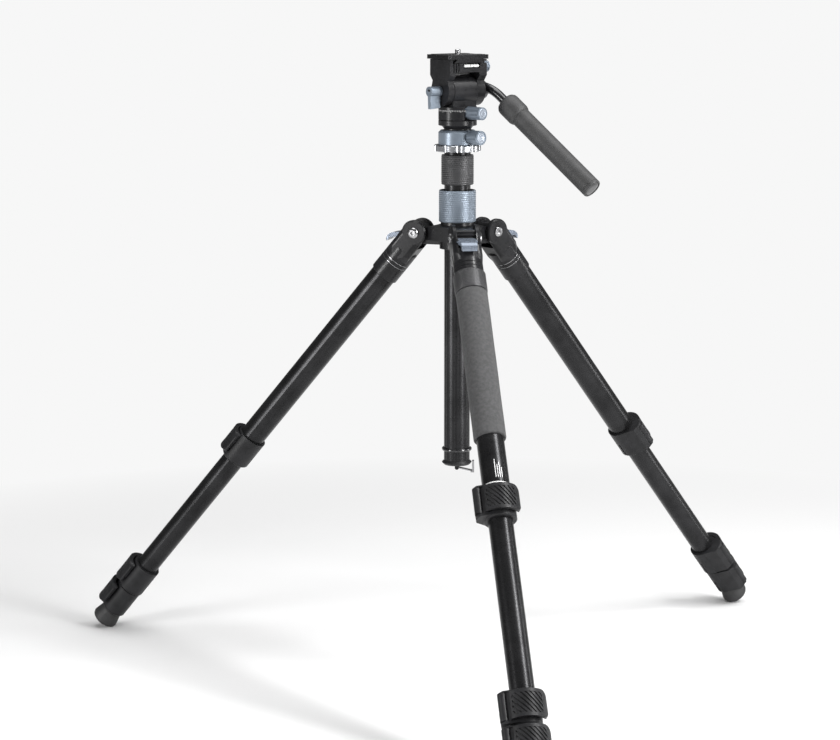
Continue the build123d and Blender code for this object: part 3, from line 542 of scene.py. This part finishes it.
def make_level():
    """Spirit level in the recess at the back of the platform, with two reading lines."""
    top = local_box("tilt_cradle", TILT_FRAME)[1].z
    place = Matrix.Translation((VIAL_ACROSS, VIAL_BACK, top - VIAL_BELOW_TOP))
    matrix = TILT_FRAME @ place @ Matrix.Rotation(math.pi / 2, 4, "Y")
    half, radius = VIAL_HALF_LENGTH, VIAL_RADIUS
    profile = [(0.3 * radius, -half), (0.8 * radius, -half + 0.3 * MM), (radius, -half + 1 * MM),
               (radius, half - 1 * MM), (0.8 * radius, half - 0.3 * MM), (0.3 * radius, half)]
    points, faces = lathe(profile, 24)
    add_piece("level_vial", points, faces, MATERIALS["acrylic"], matrix, "tilt")
    inner, outer = radius - 0.2 * MM, radius + 0.06 * MM
    for number, middle in enumerate(VIAL_LINES):
        low, high = middle - LINE_HALF_WIDTH, middle + LINE_HALF_WIDTH
        ring = [(inner, low), (outer, low), (outer, high), (inner, high)]
        points, faces = lathe(ring, 24, closed=True)
        add_piece(f"level_line_{number + 1}", points, faces, MATERIALS["gloss"], matrix, "tilt")


LIP_HALF_LENGTH = 14.8 * MM
LIP_HALF_DEPTH = 2.2 * MM
LIP_TOP = 19.9 * MM         # above the tilt axis
LIP_CLEARANCE = 0.25 * MM


def make_dust_lip():
    """Plain filler strip between the platform and the drum: a guess, not seen in the photograph."""
    bottom = local_box("pan_housing", TILT_FRAME)[1].z + LIP_CLEARANCE
    low = (-LIP_HALF_LENGTH, -LIP_HALF_DEPTH, bottom)
    high = (LIP_HALF_LENGTH, LIP_HALF_DEPTH, LIP_TOP)
    add_piece("tilt_dust_lip", *box_mesh(low, high), MATERIALS["rubber"], TILT_FRAME, "tilt")


THREAD_RADIUS = 3.175 * MM  # 1/4 inch, 20 to the inch
THREAD_PITCH = 1.27 * MM
THREAD_DEPTH = 0.55 * MM
SCREW_HEAD_HEIGHT = 4.4 * MM
SCREW_NECK_TOP = 7.8 * MM
SCREW_NECK_RADIUS = 2.6 * MM


def make_camera_screw():
    """Camera screw with a cut thread, standing for the plain CAD screw."""
    low, high = local_box("camera_screw", UPRIGHT)
    radius = THREAD_RADIUS
    head_radius = (high.x - low.x) / 2
    head_top = low.z + SCREW_HEAD_HEIGHT
    neck = low.z + SCREW_NECK_TOP

    def thread(angle, height, at_radius):
        if at_radius < radius - 1e-6 or height < neck or height > high.z - 0.9 * MM:
            return 0
        phase = (height / THREAD_PITCH - angle / (2 * math.pi)) % 1
        return -THREAD_DEPTH * (1 - abs(2 * phase - 1))

    profile = [(0.3 * MM, low.z), (head_radius - 0.4 * MM, low.z), (head_radius, low.z + 0.4 * MM),
               (head_radius, head_top - 0.4 * MM), (head_radius - 0.4 * MM, head_top),
               (SCREW_NECK_RADIUS, head_top), (SCREW_NECK_RADIUS, neck)]
    profile += [(radius, z) for z in step_range(neck, high.z - 0.8 * MM, THREAD_PITCH / 8)]
    profile += [(radius - 0.9 * MM, high.z), (0.3 * MM, high.z)]
    points, faces = lathe(profile, 48, thread)
    add_piece("camera_screw_thread", points, faces, MATERIALS["steel"], UPRIGHT, "camera_screw",
              "steel", ("camera_screw",))


PAD_COUNT = 4               # on each side of the screw
PAD_FIRST = 9.5 * MM
PAD_PITCH = 2.6 * MM
PAD_HALF_WIDTH = 0.8 * MM
PAD_INSET = 4 * MM


def make_plate_pads():
    """Rubber ribs across the top of the plate, on both sides of the screw."""
    low, high = local_box("quick_release_plate", HEAD)
    middle = (low.y + high.y) / 2
    centre = (low.x + high.x) / 2
    reach = (high.x - low.x) / 2 - PAD_INSET
    for side, label in ((-1, "back"), (1, "front")):
        for number in range(PAD_COUNT):
            y = middle + side * (PAD_FIRST + number * PAD_PITCH)
            bar = box_mesh((centre - reach, y - PAD_HALF_WIDTH, high.z - 0.2 * MM),
                           (centre + reach, y + PAD_HALF_WIDTH, high.z + 0.5 * MM))
            add_piece(f"plate_pad_{label}_{number + 1}", *bar, MATERIALS["rubber"], HEAD, "plate")


PAN_MARKS = 72
LONG_MARK_EVERY = 6
LONG_MARK = 2.4 * MM
SHORT_MARK = 1.4 * MM
PAN_MARK_HALF_WIDTH = 0.16 * MM


def make_pan_marks():
    """Printed marks every 5 degrees round the pan base, longer every 30."""
    low, high = local_box("pan_base", UPRIGHT)
    radius = (high.x - low.x) / 2
    top = high.z - 0.5 * MM
    bars = []
    for number in range(PAN_MARKS):
        tall = LONG_MARK if number % LONG_MARK_EVERY == 0 else SHORT_MARK
        bars.append((2 * math.pi * number / PAN_MARKS, (radius - 0.3 * MM, -PAN_MARK_HALF_WIDTH, top - tall),
                     (radius + 0.04 * MM, PAN_MARK_HALF_WIDTH, top)))
    printed_bars("pan_scale", bars, UPRIGHT, "column")


SOCKET_RADIUS = 2.35 * MM
KNOB_END_RADIUS = 5.3 * MM


def make_lever_trim():
    """Dark six-sided socket in the end of the tilt lever's hub."""
    end = local_box("tilt_lever", TILT_FRAME)[0].x
    matrix = TILT_FRAME @ Matrix.Translation((end, 0, 0)) @ Matrix.Rotation(math.pi / 2, 4, "Y")
    profile = [(SOCKET_RADIUS, 0.5 * MM), (SOCKET_RADIUS, 0.9 * MM), (1.2 * MM, 1.0 * MM),
               (0.2 * MM, 1.0 * MM)]
    points, faces = lathe(profile, 6)
    add_piece("tilt_lever_socket", points, faces, MATERIALS["gloss"], matrix, "tilt_lever")


def make_knob_ends():
    """Turned disc let into the end of the pan knob and of the coupler knob."""
    radius = KNOB_END_RADIUS
    for node in ("pan_knob", "coupler_knob"):
        joint = JOINTS[node + "_turn"]
        matrix = axes_frame(joint["pos_m"], (0, 0, 1), joint["axis"])
        face = local_box(node, matrix)[1].z
        rim, floor, middle = face + 0.25 * MM, face + 0.08 * MM, face + 0.22 * MM
        profile = [(radius, face - 0.5 * MM), (radius, face + 0.02 * MM), (radius - 0.35 * MM, rim),
                   (radius - 1.3 * MM, rim), (radius - 1.6 * MM, floor), (0.45 * radius, floor),
                   (0.38 * radius, middle), (0.02 * radius, middle)]
        points, faces = lathe(profile, 40)
        add_piece(node + "_end", points, faces, MATERIALS["bright_blue"], matrix, node)


# ---- Leg details ----
def band(name, radius, low, high, thickness, material, matrix, body):
    """Thin ring set into a turned surface."""
    profile = [(radius - thickness, low), (radius, low), (radius, high), (radius - thickness, high)]
    points, faces = lathe(profile, 96, closed=True)
    add_piece(name, points, faces, material, matrix, body)


# Painted highlights: thin steel lines that stand for the light caught in the grooves of the collars on legs 2 and
# 3.
COLLAR_HIGHLIGHT_LINES = (38.45 * MM, 42.95 * MM)     # down the leg from its hinge
COLLAR_HIGHLIGHT_LINE_RADIUS = 15.3 * MM
COLLAR_HIGHLIGHT_LINE_HALF_WIDTH = 0.24 * MM
PIN_RADIUS = 1.9 * MM
PIN_CROWN_RADIUS = 1.5 * MM


def make_collar_highlight_lines(number, matrix):
    """Two thin steel lines in the grooves of a shoulder's collar: painted highlights, standing for the light
    caught in the grooves.
    """
    half = COLLAR_HIGHLIGHT_LINE_HALF_WIDTH
    for place, depth in enumerate(COLLAR_HIGHLIGHT_LINES):
        band(f"leg_{number}_collar_line_{place + 1}", COLLAR_HIGHLIGHT_LINE_RADIUS, -depth - half, -depth + half,
             0.25 * MM, MATERIALS["steel"], matrix, f"leg_{number}_upper")


def make_pin_ends(number, index, body, matrix):
    """Crowned steel ends of one flip lever's pin."""
    pivot = matrix.inverted() @ Vector(JOINTS[f"leg_{number}_lever_{index}_flip"]["pos_m"])
    low, high = local_box(f"leg_{number}_lever_{index}", matrix)
    pin = matrix @ Matrix.Translation((pivot.x, pivot.y, 0))
    for end, height, outward in (("top", high.z, 1), ("bottom", low.z, -1)):
        profile = [(PIN_RADIUS, height - outward * 0.3 * MM), (PIN_RADIUS, height + outward * 0.15 * MM),
                   (PIN_CROWN_RADIUS, height + outward * 0.4 * MM), (0.1 * MM, height + outward * 0.45 * MM)]
        points, faces = lathe(profile[::outward], 24)
        add_piece(f"leg_{number}_pin_{index}_{end}", points, faces, MATERIALS["steel"], pin,
                  f"leg_{number}_{body}")


def make_leg_details():
    for number, matrix in LEGS.items():
        if number != 1:
            make_collar_highlight_lines(number, matrix)
        for index, body in enumerate(("upper", "middle", "lower")):
            make_pin_ends(number, index + 1, body, matrix)


PRINT_RADIUS = 14.03 * MM    # just proud of the tube
PRINT_RING = (2.2 * MM, 3.4 * MM)           # above leg 1's first lock
PRINT_BARS_START = 8 * MM
PRINT_BAR_LENGTHS = (20 * MM, 14 * MM, 17 * MM, 11 * MM)
PRINT_BAR_HALF_WIDTH = 0.35 * MM
PRINT_BAR_STEP = 9          # degrees
PRINT_BAR_FIRST = -96       # degrees, where the leg's outer side is at -90


def make_tube_marks():
    """Printed ring and short plain bars on leg 1's first tube, above its lock."""
    matrix = LEGS[1]
    top = local_box("leg_1_lock_1", matrix)[1].z
    band("leg_1_printed_ring", PRINT_RADIUS, top + PRINT_RING[0], top + PRINT_RING[1], 0.15 * MM,
         MATERIALS["print"], matrix, "leg_1_upper")
    bars = []
    start = top + PRINT_BARS_START
    for number, length in enumerate(PRINT_BAR_LENGTHS):
        angle = math.radians(PRINT_BAR_FIRST + PRINT_BAR_STEP * number)
        bars.append((angle, (PRINT_RADIUS - 0.3 * MM, -PRINT_BAR_HALF_WIDTH, start),
                     (PRINT_RADIUS, PRINT_BAR_HALF_WIDTH, start + length)))
    printed_bars("leg_1_printed_bars", bars, matrix, "leg_1_upper")


BEAD_STEPS = 16
BEAD_WIDTH = 1.0 * MM
BEAD_HEIGHT = 1.6 * MM


def make_cap_bead():
    """Glossy bead round the foot of the column."""
    low, high = local_box("column_end_cap", UPRIGHT)
    middle_radius = (high.x - low.x) / 2 - 0.7 * MM
    middle = high.z - 2.0 * MM
    profile = []
    for i in range(BEAD_STEPS):
        turn = 2 * math.pi * i / BEAD_STEPS
        profile.append((middle_radius + BEAD_WIDTH * math.cos(turn), middle + BEAD_HEIGHT * math.sin(turn)))
    points, faces = lathe(profile[::-1], 96, closed=True)
    add_piece("column_cap_bead", points, faces, MATERIALS["gloss"], UPRIGHT, "column")


def dress_nodes():
    """Gives every CAD node its slot's material; feet and latches have a finish of their own."""
    for entry in frame["record"]["subparts"]:
        node = NODES[entry["node"]]
        kind = entry["node"].split("_")[-1]
        look = MATERIALS[kind if kind in ("foot", "latch") else entry["material_slot"]]
        node.data.materials.clear()
        node.data.materials.append(look)


# ---- Stage ----
FLOOR_HALF_WIDTH = 6.0      # metres
SENSOR_WIDTH = 36           # mm


def make_floor():
    mesh = bpy.data.meshes.new("floor")
    half = FLOOR_HALF_WIDTH
    corners = [(-half, -half, 0), (half, -half, 0), (half, half, 0), (-half, half, 0)]
    mesh.from_pydata(corners, [], [(0, 1, 2, 3)])
    floor = bpy.data.objects.new("floor", mesh)
    bpy.context.scene.collection.objects.link(floor)
    mesh.materials.append(floor_material())


def area_light(name, location, target, width, length, power, along=(0, 0, 1)):
    """Rectangular softbox facing its target, its length as near as can be to the direction along."""
    data = bpy.data.lights.new(name, "AREA")
    data.shape = "RECTANGLE"
    data.size = width
    data.size_y = length
    data.energy = power
    light = bpy.data.objects.new(name, data)
    back = Vector(location) - Vector(target)
    light.matrix_world = axes_frame(location, Vector(along).cross(back), back)
    bpy.context.scene.collection.objects.link(light)


def make_world():
    """Pale backdrop for the camera, and a much dimmer room for the object's reflections."""
    world = bpy.data.worlds.new("studio")
    world.use_nodes = True
    tree = world.node_tree
    backdrop = tree.nodes["Background"]
    backdrop.inputs["Color"].default_value = (1, 1, 1, 1)
    backdrop.inputs["Strength"].default_value = BACKDROP_TONE
    room = tree.nodes.new("ShaderNodeBackground")
    room.inputs["Color"].default_value = (1, 1, 1, 1)
    room.inputs["Strength"].default_value = ROOM_TONE
    path = tree.nodes.new("ShaderNodeLightPath")
    mix = tree.nodes.new("ShaderNodeMixShader")
    tree.links.new(path.outputs["Is Camera Ray"], mix.inputs[0])
    tree.links.new(room.outputs["Background"], mix.inputs[1])
    tree.links.new(backdrop.outputs["Background"], mix.inputs[2])
    tree.links.new(mix.outputs["Shader"], tree.nodes["World Output"].inputs["Surface"])
    bpy.context.scene.world = world


def make_lights():
    """Softboxes placed to put the legs' highlights about where the photograph has them."""
    middle = (0, 0, 0.35)
    leg_1_axis = LEGS[1].col[2].to_3d()
    area_light("left_side", (-1.85, -0.85, 0.4), middle, 0.4, 1.5, 34)
    area_light("right_front", (1.3, -1.52, 0.6), middle, 0.42, 1.6, 34)
    area_light("right_high", (1.25, -0.8, 1.96), (0, -0.4, 0.2), 0.4, 1.4, 52, leg_1_axis)
    area_light("right_rim", (2.0, 0.05, 0.4), middle, 0.2, 1.4, 10)
    area_light("top_box", (0, 0.2, 2.4), (0, 0, 0), 1.6, 1.6, 26, (0, 1, 0))


def make_camera():
    data = bpy.data.cameras.new("camera")
    data.lens = CAMERA_LENS
    data.sensor_width = SENSOR_WIDTH
    data.clip_end = 50
    camera = bpy.data.objects.new("camera", data)
    azimuth = math.radians(CAMERA_AZIMUTH)
    camera.location = (
        CAMERA_DISTANCE * math.sin(azimuth),
        -CAMERA_DISTANCE * math.cos(azimuth),
        HINGE_Z + CAMERA_ABOVE_HINGES,
    )
    turn = math.radians(CAMERA_AZIMUTH - CAMERA_TURN)
    camera.rotation_euler = (math.radians(90 + CAMERA_PITCH), 0, turn)
    bpy.context.scene.collection.objects.link(camera)
    bpy.context.scene.camera = camera


dress_nodes()
make_knurled_rings()
make_foam_grip()
make_handle_grip()
make_level()
make_dust_lip()
make_camera_screw()
make_plate_pads()
make_pan_marks()
make_lever_trim()
make_knob_ends()
make_leg_details()
make_tube_marks()
make_cap_bead()
make_floor()
make_world()
make_lights()
make_camera()
bpy.context.scene.view_settings.view_transform = "Standard"
